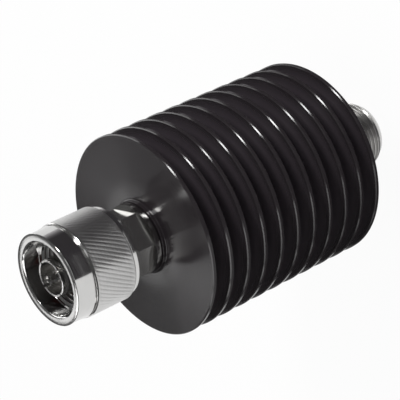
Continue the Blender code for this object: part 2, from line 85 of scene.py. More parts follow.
camera = {
    "place": (231.2223, -188.5148, 254.0793),  # mm, fitted to the picture's ellipses
    "right": (0.1271907, -0.6539081, -0.7458061),
    "up": (0.7617042, 0.5460090, -0.3488279),
    "lens": 153.3602,
}


def placeCamera():
    lens = bpy.data.cameras.new("pictureCamera")
    lens.sensor_fit = "HORIZONTAL"
    lens.sensor_width = 36.0
    lens.lens = camera["lens"]
    lens.clip_start = 0.01
    lens.clip_end = 20.0
    eye = addThing("pictureCamera", lens)
    right, up = Vector(camera["right"]).normalized(), Vector(camera["up"]).normalized()
    back = right.cross(up)
    turn = Matrix((right, up, back)).transposed().to_4x4()
    eye.matrix_world = Matrix.Translation(Vector(camera["place"]) * mm) @ turn
    bpy.context.scene.camera = eye


studio = {
    "floorSize": 6.0,  # m
    "floorDrop": 0.02,  # mm below the part
    "floorColour": "#F9F9F9",
    "floorWhite": 0.94,  # share of plain white that the camera and the metal see
    "fill": 0.62,  # soft light from all round
    "roomSeenByMetal": 0.10,
    "keyAzimuth": 15.0, "keyElevation": 40.0, "keyDistance": 0.62,
    "keySize": (0.10, 0.22), "keyRadiance": 29.0,
}
partMiddle = Vector((0, 0, 45))  # mm


def aim(azimuth, elevation):
    turn, rise = math.radians(azimuth), math.radians(elevation)
    return Vector((math.cos(rise) * math.cos(turn), math.cos(rise) * math.sin(turn), math.sin(rise)))


def addKeyLamp():
    width, height = studio["keySize"]
    lamp = bpy.data.lights.new("frontKey", "AREA")
    lamp.shape = "RECTANGLE"
    lamp.size, lamp.size_y = width, height
    lamp.energy = studio["keyRadiance"] * math.pi * width * height
    thing = addThing("frontKey", lamp)
    toward = aim(studio["keyAzimuth"], studio["keyElevation"])
    thing.location = partMiddle * mm + toward * studio["keyDistance"]
    thing.rotation_mode = "QUATERNION"
    thing.rotation_quaternion = (-toward).to_track_quat("-Z", "Y")
    thing.visible_camera = False


def emitter(name, colour, strength):
    material = bpy.data.materials.new(name)
    tree = emptyTree(material)
    glow = addNode(tree, "ShaderNodeEmission", None, {"Color": hexColour(colour), "Strength": strength})
    addNode(tree, "ShaderNodeOutputMaterial", None, {"Surface": glow})
    return material


# Cards stand for the flags and reflectors of a table-top studio: only the metal sees them
def addCard(name, corners, material):
    mesh = bpy.data.meshes.new(name)
    mesh.from_pydata([Vector(corner) * mm for corner in corners], [], [list(range(len(corners)))])
    mesh.materials.append(material)
    thing = addThing(name, mesh)
    for ray in ("camera", "diffuse", "transmission", "volume_scatter", "shadow"):
        setattr(thing, "visible_" + ray, False)


# A slice of a ring on the floor, from one azimuth and radius to another, with a corner every 5 degrees
def floorSlice(name, azimuths, radii, height, material):
    first, last = azimuths
    count = max(2, int(abs(last - first) / 5))
    turns = [math.radians(first + (last - first) * step / count) for step in range(count + 1)]
    inner, outer = ([around(radius, turn, height) for turn in turns] for radius in radii)
    addCard(name, outer + inner[::-1], material)


# Slices of grey and black paper on the floor: azimuths in degrees, radii and height in mm, colour, strength
floorCards = {
    "darkPaper": ((-14, 52), (9, 700), 0.05, "#3C3A3C", 1.0),
    "darkPaperEnd": ((-66, -14), (26, 205), 0.05, "#3C3A3C", 1.0),
    "jackPaper": ((-40, -14), (9, 26), 0.05, "#4A484A", 1.0),
    "jackGrey": ((-64, -40), (9, 26), 0.05, "#A4A2A4", 1.0),
    "softEdgeNear": ((52, 57), (9, 420), 0.05, "#4E4C4E", 1.0),
    "softEdgeMiddle": ((57, 62), (9, 420), 0.05, "#6C6A6C", 1.0),
    "softEdgeFar": ((62, 67), (9, 420), 0.05, "#929092", 1.0),
    "softEdgeLast": ((67, 73), (9, 420), 0.05, "#B8B6B8", 1.0),
    "rimFlagLeft": ((73, 142), (26, 130), 0.06, "#242224", 1.0),
    "rimFlagRight": ((-160, -66), (26, 119), 0.06, "#201E20", 1.0),
    "jackReflector": ((7, 22), (9, 26), 0.10, "#FFFFFF", 2.6),
}
# Soft boxes that give the turned faces their fans, the nut's lip its tone and the fins' edges their arcs:
# corners as azimuth and elevation from the middle of the part, distance in mm, strength
lightBoxes = {
    "lipBox": ([(134, 30), (147, 30), (147, 34.2), (134, 34.2)], 675, 1.3),
    "fanBox": ([(145, 36), (152, 36), (152, 44), (145, 44)], 675, 2.6),
    "highFanBox": ([(155, 52), (170, 52), (170, 66), (155, 66)], 675, 0.45),
    "upperFlatBox": ([(90, 27), (110, 27), (110, 38), (90, 38)], 675, 0.6),
    "middleFlatBox": ([(-30, 26), (-11, 26), (-11, 38), (-30, 38)], 675, 0.9),
    "lowerFlatBox": ([(-150, 24), (-132, 24), (-132, 38), (-150, 38)], 675, 2.2),
    "chamferFlag": ([(69, -6), (93, -6), (93, 3.5), (69, 3.5)], 600, 0.02),
    "sideBox": ([(-129, 33), (-82, 40), (-80, 56), (-138, 47)], 620, 2.6),
    "edgeBox": (
        [(118, 4), (100, 15), (80, 30), (62, 36), (60, 24), (70, 19), (84, 8), (98, -2), (112, -2)], 620, 2.6,
    ),
}


def buildStudio():
    world = bpy.data.worlds.new("paleStudio")
    bpy.context.scene.world = world
    tree = emptyTree(world)
    ray = addNode(tree, "ShaderNodeLightPath")
    level = addNode(
        tree, "ShaderNodeMapRange", None,
        {"Value": ray.outputs["Is Glossy Ray"],
         "To Min": studio["fill"], "To Max": studio["roomSeenByMetal"]},
    )
    sky = addNode(tree, "ShaderNodeBackground", None, {"Color": (1, 1, 1, 1), "Strength": level})
    addNode(tree, "ShaderNodeOutputWorld", None, {"Surface": sky})

    half = studio["floorSize"] / 2
    mesh = bpy.data.meshes.new("studioFloor")
    corners = [(-half, -half, 0), (half, -half, 0), (half, half, 0), (-half, half, 0)]
    mesh.from_pydata(corners, [], [[0, 1, 2, 3]])
    floor = addThing("studioFloor", mesh)
    floor.location.z = -studio["floorDrop"] * mm
    paper = bpy.data.materials.new("matteBackgroundPaper")
    tree = emptyTree(paper)
    ray = addNode(tree, "ShaderNodeLightPath")
    seen = ray.outputs["Is Camera Ray"]
    for kind in ("Is Glossy Ray", "Is Transmission Ray"):
        seen = addNode(tree, "ShaderNodeMath", {"operation": "MAXIMUM"}, {0: seen, 1: ray.outputs[kind]})
    share = addNode(tree, "ShaderNodeMath", {"operation": "MULTIPLY"}, {0: seen, 1: studio["floorWhite"]})
    matte = addNode(tree, "ShaderNodeBsdfDiffuse", None, {"Color": hexColour(studio["floorColour"])})
    white = addNode(tree, "ShaderNodeEmission", None, {"Color": (1, 1, 1, 1), "Strength": 1.0})
    mixed = addNode(tree, "ShaderNodeMixShader", None, {0: share, 1: matte, 2: white})
    addNode(tree, "ShaderNodeOutputMaterial", None, {"Surface": mixed})
    mesh.materials.append(paper)

    addKeyLamp()
    for name, (azimuths, radii, height, colour, strength) in floorCards.items():
        floorSlice(name, azimuths, radii, height, emitter(name, colour, strength))
    for name, (directions, distance, strength) in lightBoxes.items():
        corners = [partMiddle + aim(*direction) * distance for direction in directions]
        addCard(name, corners, emitter(name, "#FFFFFF", strength))
    bpy.context.scene.view_settings.view_transform = "Standard"


placeCamera()
buildStudio()
print("camera, floor and lamps placed")


# Materials

def startMaterial(name):
    material = bpy.data.materials.new(name)
    material.use_nodes = True
    tree = material.node_tree
    shader = tree.nodes["Principled BSDF"]
    return material, tree, shader


def axisRadius(tree, place):
    flat = addNode(tree, "ShaderNodeVectorMath", {"operation": "MULTIPLY"}, {0: place, 1: (1, 1, 0)})
    return addNode(tree, "ShaderNodeVectorMath", {"operation": "LENGTH"}, {0: flat}).outputs["Value"]


# One between two heights in mm, and nothing above and below them
def heightMask(tree, place, low, high):
    split = addNode(tree, "ShaderNodeSeparateXYZ", None, {0: place})
    middle, half = (low + high) / 2 * mm, (high - low) / 2 * mm
    offset = addNode(tree, "ShaderNodeMath", {"operation": "SUBTRACT"}, {0: split.outputs["Z"], 1: middle})
    reach = addNode(tree, "ShaderNodeMath", {"operation": "ABSOLUTE"}, {0: offset})
    return addNode(tree, "ShaderNodeMath", {"operation": "LESS_THAN"}, {0: reach, 1: half})


# Radius plus height counts the tool marks of a turned piece, on its faces and on its walls alike
def turningMarks(tree, pitch):
    place = addNode(tree, "ShaderNodeTexCoord").outputs["Object"]
    split = addNode(tree, "ShaderNodeSeparateXYZ", None, {0: place})
    radius = axisRadius(tree, place)
    travel = addNode(tree, "ShaderNodeMath", {"operation": "ADD"}, {0: radius, 1: split.outputs["Z"]})
    marks = addNode(
        tree, "ShaderNodeTexNoise", {"noise_dimensions": "1D"},
        {"W": travel, "Scale": 1 / (pitch * mm), "Detail": 3.0, "Roughness": 0.6},
    )
    return place, marks.outputs["Fac"]


# The grain lies round the axis, so the gloss stretches across it
def grainAcross(tree, place):
    circle = addNode(tree, "ShaderNodeVectorMath", {"operation": "CROSS_PRODUCT"}, {0: (0, 0, 1), 1: place})
    normal = addNode(tree, "ShaderNodeNewGeometry").outputs["Normal"]
    across = addNode(tree, "ShaderNodeVectorMath", {"operation": "CROSS_PRODUCT"}, {0: normal, 1: circle})
    return addNode(tree, "ShaderNodeVectorMath", {"operation": "NORMALIZE"}, {0: across})


# Aluminium turned on a lathe, then black anodised: deep black with a fan of grey gloss on each face
def anodisedAluminium():
    look = {
        "dark": "#211D20", "light": "#2A2628", "markPitch": 0.30, "roughness": (0.20, 0.27),
        "anisotropy": 0.9, "ior": 1.6, "fineRadii": (9.0, 13.5), "fineShare": 0.5,
        "edgeRadius": 21.98, "edgeShare": 0.8,
        # The next line is a lighter colour painted into the grooves between the fins, as painted light where
        # their shade falls, with its radii and heights
        "paintedGrooveLight": "#423C41", "paintedGrooveLightRadii": (19.5, 21.9), "paintedGrooveLightHeights": (18.2, 65.2),
    }
    smooth, coarse = look["roughness"]
    material, tree, shader = startMaterial("blackAnodisedTurnedAluminium")
    place, marks = turningMarks(tree, look["markPitch"])
    cloud = addNode(tree, "ShaderNodeTexNoise", None, {"Vector": place, "Scale": 160.0, "Detail": 3.0})
    tone = addNode(
        tree, "ShaderNodeMix", {"data_type": "RGBA"},
        {0: cloud.outputs["Fac"], 6: hexColour(look["dark"]), 7: hexColour(look["light"])},
    )
    rough = addNode(
        tree, "ShaderNodeMapRange", None,
        {"Value": marks, "From Min": 0.3, "From Max": 0.7, "To Min": smooth, "To Max": coarse},
    )
    radius = axisRadius(tree, place)
    # Deep between the fins the base colour is painted lighter: painted fill light that makes up for the shade
    # the fins cast on each other there
    paintedLightByRadius = addNode(
        tree, "ShaderNodeMapRange", None,
        {"Value": radius, "From Min": look["paintedGrooveLightRadii"][0] * mm, "From Max": look["paintedGrooveLightRadii"][1] * mm,
         "To Min": 1.0, "To Max": 0.0},
    )
    between = heightMask(tree, place, *look["paintedGrooveLightHeights"])
    paintedGrooveLight = addNode(tree, "ShaderNodeMath", {"operation": "MULTIPLY"}, {0: between, 1: paintedLightByRadius})
    tone = addNode(
        tree, "ShaderNodeMix", {"data_type": "RGBA"},
        {0: paintedGrooveLight, 6: tone.outputs[2], 7: hexColour(look["paintedGrooveLight"])},
    )
    # Close to the hub the tool cut slower and finer, so the face is smoother there
    fine = addNode(
        tree, "ShaderNodeMapRange", {"interpolation_type": "SMOOTHSTEP"},
        {"Value": radius, "From Min": look["fineRadii"][0] * mm, "From Max": look["fineRadii"][1] * mm,
         "To Min": look["fineShare"], "To Max": 1.0},
    )
    edge = addNode(
        tree, "ShaderNodeMapRange", None,
        {"Value": radius, "From Min": (look["edgeRadius"] - 0.1) * mm, "From Max": look["edgeRadius"] * mm,
         "To Min": 1.0, "To Max": look["edgeShare"]},
    )
    for share in (fine, edge):
        rough = addNode(tree, "ShaderNodeMath", {"operation": "MULTIPLY"}, {0: rough, 1: share})
    bump = addNode(tree, "ShaderNodeBump", None, {"Strength": 0.25, "Distance": 0.00002, "Height": marks})
    linkNode(tree, shader, {
        "IOR": look["ior"], "Anisotropic": look["anisotropy"], "Base Color": tone.outputs[2],
        "Roughness": rough, "Normal": bump, "Tangent": grainAcross(tree, place),
    })
    return material


# Metal plate over turned brass: the plating keeps the tool marks and dulls a little where it was handled
def turnedPlate(name, clean, handled, roughness, anisotropy, pitch=0.22, bumpStrength=0.2, rolled=None):
    material, tree, shader = startMaterial(name)
    place, marks = turningMarks(tree, pitch)
    smudge = addNode(
        tree, "ShaderNodeTexNoise", None, {"Vector": place, "Scale": 220.0, "Detail": 4.0, "Roughness": 0.6},
    )
    tone = addNode(
        tree, "ShaderNodeMix", {"data_type": "RGBA"},
        {0: smudge.outputs["Fac"], 6: hexColour(clean), 7: hexColour(handled)},
    )
    worn = addNode(tree, "ShaderNodeMath", {"operation": "MULTIPLY"}, {0: marks, 1: smudge.outputs["Fac"]})
    rough = addNode(
        tree, "ShaderNodeMapRange", None,
        {"Value": worn, "From Min": 0.1, "From Max": 0.45, "To Min": roughness[0], "To Max": roughness[1]},
    )
    if rolled:  # heights of the knurl or thread in mm, and how much rougher it is there
        on = heightMask(tree, place, rolled["foot"], rolled["top"])
        added = addNode(tree, "ShaderNodeMath", {"operation": "MULTIPLY"}, {0: on, 1: rolled["rougher"]})
        rough = addNode(tree, "ShaderNodeMath", {"operation": "ADD"}, {0: rough, 1: added})
    bump = addNode(
        tree, "ShaderNodeBump", None, {"Strength": bumpStrength, "Distance": 0.00001, "Height": marks},
    )
    linkNode(tree, shader, {
        "Metallic": 1.0, "Anisotropic": anisotropy, "Base Color": tone.outputs[2], "Roughness": rough,
        "Normal": bump, "Tangent": grainAcross(tree, place),
    })
    return material


# Moulded or fired parts: an even body colour, a soft mottle and a fine grain
def plainBody(name, base, mottled, roughness, grain, depth):
    material, tree, shader = startMaterial(name)
    place = addNode(tree, "ShaderNodeTexCoord").outputs["Object"]
    mottle = addNode(
        tree, "ShaderNodeTexNoise", None, {"Vector": place, "Scale": 1 / (grain * 4 * mm), "Detail": 3.0},
    )
    fine = addNode(
        tree, "ShaderNodeTexNoise", None, {"Vector": place, "Scale": 1 / (grain * mm), "Detail": 2.0},
    )
    tone = addNode(
        tree, "ShaderNodeMix", {"data_type": "RGBA"},
        {0: mottle.outputs["Fac"], 6: hexColour(base), 7: hexColour(mottled)},
    )
    rough = addNode(
        tree, "ShaderNodeMapRange", None,
        {"Value": fine.outputs["Fac"], "From Min": 0.3, "From Max": 0.7,
         "To Min": roughness[0], "To Max": roughness[1]},
    )
    bump = addNode(
        tree, "ShaderNodeBump", None,
        {"Strength": 0.3, "Distance": depth * mm, "Height": fine.outputs["Fac"]},
    )
    linkNode(tree, shader, {"Base Color": tone.outputs[2], "Roughness": rough, "Normal": bump})
    return material


anodised = anodisedAluminium()
# Nickel plate on the turned bodies: grey steel-like mirror with faint rings
bodyNickel = turnedPlate("nickelPlatedTurnedBrass", "#D2D1CF", "#C0BFBD", (0.10, 0.20), 0.3)
# The same plate where a die cut the jack's thread: softer
threadNickel = turnedPlate(
    "nickelPlatedThread", "#D2D1CF", "#C0BFBD", (0.12, 0.22), 0.3, 0.22, 0.2,
    {"foot": 0.4, "top": 9.8, "rougher": 0.16},
)
# Bright nickel on the nut: cleaner and smoother, with hard-edged bands of the room, but softer on the knurl
nutNickel = turnedPlate(
    "brightNickelPlatedBrass", "#D3D2D1", "#C4C4C3", (0.09, 0.18), 0.1, 0.25, 0.1,
    {"foot": 75.6, "top": 85.0, "rougher": 0.20},
)
# Silver plate on the contacts: whiter than nickel, softened by a light tarnish
contactSilver = turnedPlate("silverPlatedBronze", "#E6E5E4", "#CFCECC", (0.12, 0.26), 0.2)
# Drawn spring steel: darker and satin
springSteel = turnedPlate("drawnSpringSteel", "#8E8E90", "#77777A", (0.26, 0.40), 0.3)
# Machined aluminium left bare: pale with open tool marks
bareAluminium = turnedPlate("machinedBareAluminium", "#C9CBCE", "#B5B7BA", (0.28, 0.42), 0.4, 0.35, 0.4)
# Turned fluoropolymer: milky white and waxy
fluoropolymer = plainBody("turnedWhiteFluoropolymer", "#ECEBE6", "#E2E0DA", (0.38, 0.50), 0.3, 0.01)
# Moulded silicone: brick red and soft
silicone = plainBody("mouldedSiliconeRubber", "#5A3029", "#4A2620", (0.45, 0.60), 0.25, 0.01)
# Moulded nitrile: black with a dull skin
nitrile = plainBody("mouldedBlackRubber", "#1A1A1A", "#242424", (0.50, 0.66), 0.2, 0.01)


# Fired alumina with a printed resistive film down its middle
def printedCeramic():
    look = {"alumina": "#E4E1D6", "film": "#2C2B2D", "filmHalfWidth": 2.6, "filmEnds": (29.0, 54.0)}
    material, tree, shader = startMaterial("printedAluminaCeramic")
    place = addNode(tree, "ShaderNodeTexCoord").outputs["Object"]
    split = addNode(tree, "ShaderNodeSeparateXYZ", None, {0: place})
    side = addNode(tree, "ShaderNodeMath", {"operation": "ABSOLUTE"}, {0: split.outputs["X"]})
    reach = look["filmHalfWidth"] * mm
    inside = addNode(tree, "ShaderNodeMath", {"operation": "LESS_THAN"}, {0: side, 1: reach})
    between = heightMask(tree, place, *look["filmEnds"])
    film = addNode(tree, "ShaderNodeMath", {"operation": "MULTIPLY"}, {0: inside, 1: between})
    grain = addNode(tree, "ShaderNodeTexNoise", None, {"Vector": place, "Scale": 2500.0, "Detail": 2.0})
    tone = addNode(
        tree, "ShaderNodeMix", {"data_type": "RGBA"},
        {0: film, 6: hexColour(look["alumina"]), 7: hexColour(look["film"])},
    )
    speck = grain.outputs["Fac"]
    rough = addNode(tree, "ShaderNodeMapRange", None, {"Value": speck, "To Min": 0.35, "To Max": 0.6})
    bump = addNode(tree, "ShaderNodeBump", None, {"Strength": 0.2, "Distance": 0.00001, "Height": speck})
    linkNode(tree, shader, {"Base Color": tone.outputs[2], "Roughness": rough, "Normal": bump})
    return material


ceramic = printedCeramic()
print("materials made")


# Shapes

# Rounds the corners of an outline of (radius, height) or (radius, height, corner radius), in mm
def soften(outline, corner=0.08, steps=3, closed=True):
    points = [Vector(point[:2]) for point in outline]
    sizes = [point[2] if len(point) > 2 else corner for point in outline]
    result = []
    for index, here in enumerate(points):
        size = sizes[index]
        if size <= 0 or (not closed and index in (0, len(points) - 1)):
            result.append(tuple(here))
            continue
        before = points[index - 1] - here
        after = points[(index + 1) % len(points)] - here
        bend = math.pi - before.angle(after)
        if bend < math.radians(12):
            result.append(tuple(here))
            continue
        reach = min(size * math.tan(bend / 2), before.length * 0.45, after.length * 0.45)
        start, end = here + before.normalized() * reach, here + after.normalized() * reach
        size = reach / math.tan(bend / 2)
        middle = here + (before.normalized() + after.normalized()).normalized() * (size / math.cos(bend / 2))
        first, last = start - middle, end - middle
        whole = first.angle_signed(last)
        count = max(1, min(steps, int(abs(whole) / math.radians(14)) + 1))
        for step in range(count + 1):
            turn = whole * step / count
            arm = Vector((
                first.x * math.cos(turn) + first.y * math.sin(turn),
                first.y * math.cos(turn) - first.x * math.sin(turn),
            ))
            result.append(tuple(middle + arm))
    return result


# Turns an outline about the axis. One that starts and ends on the axis stays open there
def lathe(outline, steps):
    shape = bmesh.new()
    turns = [2 * math.pi * step / steps for step in range(steps)]
    rings = []
    for radius, height in outline:
        if abs(radius) < 1e-6:
            rings.append([shape.verts.new((0, 0, height * mm))] * steps)
        else:
            rings.append([shape.verts.new(around(radius * mm, turn, height * mm)) for turn in turns])
    onAxis = abs(outline[0][0]) < 1e-6 and abs(outline[-1][0]) < 1e-6
    pairs = list(zip(rings, rings[1:])) + ([] if onAxis else [(rings[-1], rings[0])])
    for low, high in pairs:
        for step in range(steps):
            after = (step + 1) % steps
            corners = list(dict.fromkeys((low[step], low[after], high[after], high[step])))
            if len(corners) > 2:
                shape.faces.new(corners)
    bmesh.ops.recalc_face_normals(shape, faces=shape.faces[:])
    return shape


def plainMesh(shape, name):
    mesh = bpy.data.meshes.new(name)
    shape.to_mesh(mesh)
    shape.free()
    return mesh


def turnedMesh(name, outline, steps, *rounding):
    return plainMesh(lathe(soften(outline, *rounding), steps), name)


def block(centre, size, turn=0.0):
    shape = bmesh.new()
    bmesh.ops.create_cube(shape, size=1.0)
    bmesh.ops.scale(shape, verts=shape.verts[:], vec=Vector(size) * mm)
    bmesh.ops.translate(shape, verts=shape.verts[:], vec=Vector(centre) * mm)
    bmesh.ops.rotate(shape, verts=shape.verts[:], matrix=Matrix.Rotation(turn, 3, "Z"))
    return shape


# A ring with a hexagonal hole, its corners on the X axis
def hexagonSleeve(across, low, high, slope=(0.0, 0.0), outer=20.0):
    shape = bmesh.new()
    rings = []
    inner = across / math.sqrt(3)
    for height, lean in ((low, slope[0]), (high, slope[1])):
        for radius in (inner, outer):
            level = height + (radius - inner) * lean
            corners = [around(radius * mm, math.radians(60 * side), level * mm) for side in range(6)]
            rings.append([shape.verts.new(corner) for corner in corners])
    for first, second in ((0, 1), (1, 3), (3, 2), (2, 0)):
        near, far = rings[first], rings[second]
        for side in range(6):
            after = (side + 1) % 6
            shape.faces.new((near[side], near[after], far[after], far[side]))
    bmesh.ops.recalc_face_normals(shape, faces=shape.faces[:])
    return shape


# Cuts shapes out of a mesh, as a mill does after the lathe
def milled(mesh, cutters):
    target = addThing("blank", mesh)
    tools = []
    for cutter in cutters:
        tool = addThing("tool", plainMesh(cutter, "tool"))
        step = target.modifiers.new("cut", "BOOLEAN")
        step.operation, step.solver, step.object = "DIFFERENCE", "EXACT", tool
        tools.append(tool)
    bpy.context.view_layer.update()
    result = bpy.data.meshes.new_from_object(target.evaluated_get(bpy.context.evaluated_depsgraph_get()))
    for thing in (target, *tools):
        bpy.data.objects.remove(thing)
    return result


# Breaks the sharp edges that a cut leaves between two heights
def breakEdges(mesh, low, high, width, angle=25.0, segments=2):
    shape = bmesh.new()
    shape.from_mesh(mesh)
    bmesh.ops.remove_doubles(shape, verts=shape.verts[:], dist=1e-7)
    chosen = [
        edge for edge in shape.edges
        if edge.is_manifold and all(low * mm <= vertex.co.z <= high * mm for vertex in edge.verts)
        and edge.calc_face_angle(0.0) > math.radians(angle)
    ]
    bmesh.ops.bevel(
        shape, geom=chosen, offset=width * mm, segments=segments,
        affect="EDGES", clamp_overlap=True, profile=0.5,
    )
    return plainMesh(shape, mesh.name)


seamGap = 0.002  # mm, points closer than this are one


# The mesh that a node tree grows with the chosen inputs
def grown(tree, choices):
    holder = addThing("holder", bpy.data.meshes.new("holder"))
    pattern = holder.modifiers.new("pattern", "NODES")
    pattern.node_group = tree
    for item in tree.interface.items_tree:
        if item.item_type == "SOCKET" and item.in_out == "INPUT" and item.name in choices:
            pattern[item.identifier] = choices[item.name]
    bpy.context.view_layer.update()
    mesh = bpy.data.meshes.new_from_object(holder.evaluated_get(bpy.context.evaluated_depsgraph_get()))
    holder.modifiers.remove(pattern)
    bpy.data.objects.remove(holder)
    return mesh


def newTree(name, inputs):
    tree = bpy.data.node_groups.new(name, "GeometryNodeTree")
    for label, kind, value in inputs:
        socket = tree.interface.new_socket(label, in_out="INPUT", socket_type="NodeSocket" + kind)
        if value is not None:
            socket.default_value = value
    tree.interface.new_socket("Mesh", in_out="OUTPUT", socket_type="NodeSocketGeometry")
    return tree, addNode(tree, "NodeGroupInput").outputs


# A flat grid, and where each of its points lies: its share of the way across, the same along, and its turn
def flatSheet(tree, across, along):
    sheet = addNode(
        tree, "GeometryNodeMeshGrid", None,
        {"Size X": 1.0, "Size Y": 1.0, "Vertices X": across, "Vertices Y": along},
    )
    place = addNode(tree, "ShaderNodeSeparateXYZ", None, {0: addNode(tree, "GeometryNodeInputPosition")})
    share, raised = (
        addNode(tree, "ShaderNodeMath", {"operation": "ADD"}, {0: place.outputs[axis], 1: 0.5})
        for axis in "XY"
    )
    turn = addNode(tree, "ShaderNodeMath", {"operation": "MULTIPLY"}, {0: share, 1: 2 * math.pi})
    return sheet, share, raised, turn


# Wraps the grid round the axis and closes its seam
def wrapped(tree, sheet, turn, radius, height):
    arms = [addNode(tree, "ShaderNodeMath", {"operation": way}, {0: turn}) for way in ("COSINE", "SINE")]
    x, y = (addNode(tree, "ShaderNodeMath", {"operation": "MULTIPLY"}, {0: arm, 1: radius}) for arm in arms)
    spot = addNode(tree, "ShaderNodeCombineXYZ", None, {"X": x, "Y": y, "Z": height})
    moved = addNode(tree, "GeometryNodeSetPosition", None, {"Geometry": sheet, "Position": spot})
    return addNode(tree, "GeometryNodeMergeByDistance", None, {"Geometry": moved, "Distance": seamGap * mm})


def finishTree(tree, shape, finish):
    solid = addNode(tree, "GeometryNodeRealizeInstances", None, {0: shape})
    coated = addNode(tree, "GeometryNodeSetMaterial", None, {"Geometry": solid, "Material": finish})
    addNode(tree, "NodeGroupOutput", None, {0: coated})
    return tree


# Joins the meshes of one piece, shades it and hangs it on its body
def finishPiece(name, meshes, material, replaced, smoothAngle=32.0, body="attenuator"):
    shape = bmesh.new()
    for mesh in meshes:
        shape.from_mesh(mesh)
    bmesh.ops.recalc_face_normals(shape, faces=shape.faces[:])
    for face in shape.faces:
        face.material_index = 0
    whole = plainMesh(shape, name)
    whole.materials.clear()
    whole.materials.append(material)
    whole.shade_smooth()
    whole.set_sharp_from_angle(angle=math.radians(smoothAngle))
    thing = addThing(name, whole)
    weighted = thing.modifiers.new("flatFaces", "WEIGHTED_NORMAL")
    weighted.keep_sharp = True
    weighted.weight = 80
    bpy.context.view_layer.update()
    thing.data = bpy.data.meshes.new_from_object(thing.evaluated_get(bpy.context.evaluated_depsgraph_get()))
    thing.modifiers.clear()
    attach(thing, body)
    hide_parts(replaced)
    print(name, "made,", len(thing.data.polygons), "faces")


# Heat sink

finSizes = {
    "count": 11, "pitch": 4.7, "thickness": 1.0, "radius": 22.2, "coreRadius": 12.5, "chamfer": 0.2,
    "base": 17.6, "jackHub": 8.75, "plugHub": 8.0, "hubHeight": 0.8, "hubFillet": 0.3, "boreRadius": 6.8,
    "steps": 240,
}


# One fin is a grid wrapped round the axis over its own outline, and a line of points repeats it
def finTree():
    tree, given = newTree("turnedFins", (
        ("Fin Count", "Int", 9), ("Fin Pitch", "Float", 0.0047), ("Fin Thickness", "Float", 0.001),
        ("Fin Radius", "Float", 0.0222), ("Root Radius", "Float", 0.012), ("Chamfer", "Float", 0.0002),
        ("First Height", "Float", 0.02), ("Steps", "Int", 240), ("Finish", "Material", None),
    ))
    across = addNode(tree, "ShaderNodeMath", {"operation": "ADD"}, {0: given["Steps"], 1: 1.0})
    sheet, _, raised, turn = flatSheet(tree, across, 7)
    corner = addNode(tree, "ShaderNodeMath", {"operation": "MULTIPLY"}, {0: raised, 1: 6.0})
    cornerNumber = addNode(tree, "ShaderNodeMath", {"operation": "ROUND"}, {0: corner})
    root, rim = given["Root Radius"], given["Fin Radius"]
    thick, cut = given["Fin Thickness"], given["Chamfer"]
    shoulder = addNode(tree, "ShaderNodeMath", {"operation": "SUBTRACT"}, {0: rim, 1: cut})
    upper = addNode(tree, "ShaderNodeMath", {"operation": "SUBTRACT"}, {0: thick, 1: cut})
    radii = (root, shoulder, rim, rim, shoulder, root, root)
    heights = (0.0, 0.0, cut, upper, thick, thick, 0.0)
    picked = []
    for values in (radii, heights):
        pick = addNode(tree, "GeometryNodeIndexSwitch", {"data_type": "FLOAT"})
        for _ in range(5):
            pick.index_switch_items.new()
        linkNode(tree, pick, {"Index": cornerNumber, **dict(enumerate(values, 1))})
        picked.append(pick)
    closed = wrapped(tree, sheet, turn, *picked)
    start = addNode(tree, "ShaderNodeCombineXYZ", None, {"Z": given["First Height"]})
    stride = addNode(tree, "ShaderNodeCombineXYZ", None, {"Z": given["Fin Pitch"]})
    stack = addNode(
        tree, "GeometryNodeMeshLine", {"mode": "OFFSET"},
        {"Count": given["Fin Count"], "Start Location": start, "Offset": stride},
    )
    fins = addNode(tree, "GeometryNodeInstanceOnPoints", None, {"Points": stack, "Instance": closed})
    return finishTree(tree, fins, given["Finish"])


def buildHeatSink():
    size = finSizes
    low, pitch, thick = size["base"], size["pitch"], size["thickness"]
    top = low + (size["count"] - 1) * pitch + thick
    cut, rim = size["chamfer"], size["radius"]
    foot, head = low - size["hubHeight"], top + size["hubHeight"]
    outline = [
        (size["boreRadius"], foot), (size["jackHub"], foot, 0.12), (size["jackHub"], low, size["hubFillet"]),
        (rim - cut, low, 0), (rim, low + cut, 0), (rim, low + thick - cut, 0), (rim - cut, low + thick, 0),
        (size["coreRadius"], low + thick, 0.4),
        (size["coreRadius"], top - thick, 0.4), (rim - cut, top - thick, 0), (rim, top - thick + cut, 0),
        (rim, top - cut, 0), (rim - cut, top, 0), (size["plugHub"], top, size["hubFillet"]),
        (size["plugHub"], head, 0.12), (size["boreRadius"], head, 0.1),
    ]
    core = turnedMesh("core", outline, size["steps"], 0.1, 4)
    fins = grown(finTree(), {
        "Fin Count": size["count"] - 2, "Fin Pitch": pitch * mm, "Fin Thickness": thick * mm,
        "Fin Radius": rim * mm, "Root Radius": (size["coreRadius"] - 0.4) * mm, "Chamfer": cut * mm,
        "First Height": (low + pitch) * mm, "Steps": size["steps"], "Finish": anodised,
    })
    finishPiece("finnedHeatSink", [core, fins], anodised, "heat_sink")


buildHeatSink()


# Coupling nut

nutSizes = {
    "rear": 74.4, "lip": 90.0, "landRadius": 9.98, "landNeck": 9.83, "landTop": 75.5, "boreRadius": 7.3,
    "knurlRadius": 10.27, "knurlDepth": 0.036, "crossDepth": 0.012, "knurlEdge": 0.14, "knurlTop": 85.3,
    "diamonds": 66, "rows": 46,
    "grooveRadius": 9.75, "grooveTop": 85.8, "bandRadius": 10.05, "waistRadius": 9.86, "waist": 87.7,
    "lipRadius": 9.95, "lipEdge": 0.16,
    "mouthRadius": 8.12, "mouthChamfer": 0.28, "mouthDepth": 4.0,
    "threadCrest": 7.4, "threadRoot": 7.95, "threadPitch": 25.4 / 24,
    "undercutRadius": 8.0, "undercut": (79.2, 80.9), "snapGroove": (75.45, 76.75), "snapRadius": 7.95,
    "steps": 240,
}


